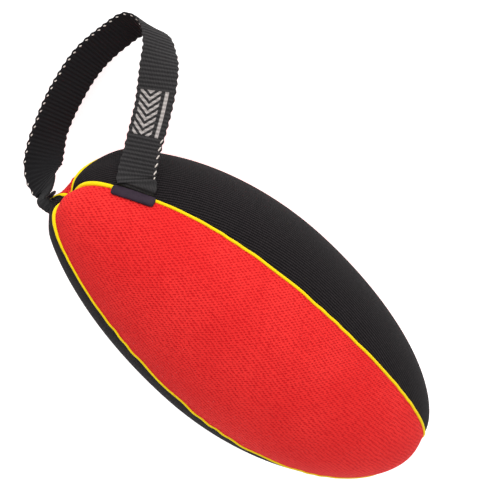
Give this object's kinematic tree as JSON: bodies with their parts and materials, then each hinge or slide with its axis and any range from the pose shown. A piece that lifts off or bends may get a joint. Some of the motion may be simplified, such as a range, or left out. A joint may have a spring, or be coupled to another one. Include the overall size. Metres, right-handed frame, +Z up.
{
  "type": "dog training bumper",
  "caption": "Stuffed rugby-ball-shaped training bumper: red mesh and black ribbed gores with yellow piped seams, and a webbing loop handle at one end.",
  "frame": {"origin": "centre of the flat on the back panel that the bumper lies on", "axes": "+Z up out of the resting flat through the front panel, +X along the body away from the handle, +Y towards the right side panel"},
  "size_m": [0.2778, 0.1354, 0.1245],
  "materials": {
    "red_mesh": "knitted air-mesh polyester, fine pores",
    "black_rib": "ribbed stretch fabric, matte",
    "piping": "bias-cut woven tape",
    "cord": "cotton filler cord",
    "wadding": "polyester wadding",
    "foam": "closed-cell foam",
    "webbing": "ribbed polypropylene webbing with pale selvage thread",
    "bar": "moulded soft bar, satin"
  },
  "bodies": {
    "body": {"front_panel": "red_mesh", "right_side_panel": "black_rib", "back_panel": "red_mesh", "left_side_panel": "black_rib", "front_right_piping_tape": "piping", "back_right_piping_tape": "piping", "back_left_piping_tape": "piping", "front_left_piping_tape": "piping", "front_right_piping_cord": "cord", "back_right_piping_cord": "cord", "back_left_piping_cord": "cord", "front_left_piping_cord": "cord", "foam_core": "foam", "front_wadding": "wadding", "right_wadding": "wadding", "back_wadding": "wadding", "left_wadding": "wadding", "near_pole_tack": "piping", "far_pole_tack": "piping", "right_webbing_tail": "webbing", "left_webbing_tail": "webbing", "right_end_bar": "bar", "left_end_bar": "bar"},
    "handle": {"handle_webbing": "webbing"}
  },
  "joints": [
    {"name": "handle_swing", "type": "hinge", "parent": "body", "child": "handle", "pos_m": [-0.12005, 0.00701, 0.06076], "axis": [0.2928, 0.8404, 0.456], "range_deg": [-6, 110], "stiffness_Nm_per_rad": 0.12, "deforming": ["right_webbing_tail", "left_webbing_tail"]}
  ]
}
